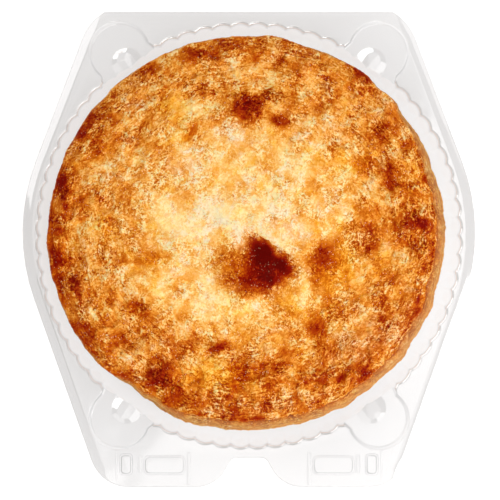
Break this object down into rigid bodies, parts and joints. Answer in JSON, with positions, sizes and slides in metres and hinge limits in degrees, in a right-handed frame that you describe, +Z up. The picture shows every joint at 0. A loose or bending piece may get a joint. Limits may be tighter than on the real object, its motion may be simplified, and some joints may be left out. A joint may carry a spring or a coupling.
{
  "type": "beef pot pie in a clear tray",
  "caption": "Round double-crust savoury pie with a browned flaky lid, standing in the clear fluted plastic tray it is sold in.",
  "frame": {"origin": "middle of the tray's round well, on the surface that the tray stands on", "axes": "+Z up, +Y towards the tray's straight hinge edge, +X to the right seen from above"},
  "size_m": [0.2594, 0.2733, 0.0489],
  "materials": {
    "baked_crust": "baked flaky pastry, cream to golden brown with dark burnt spots, slightly oily",
    "clear_plastic": "thin clear thermoformed plastic, glossy"
  },
  "bodies": {
    "root": {"pie": "baked_crust", "tray": "clear_plastic"}
  },
  "joints": []
}
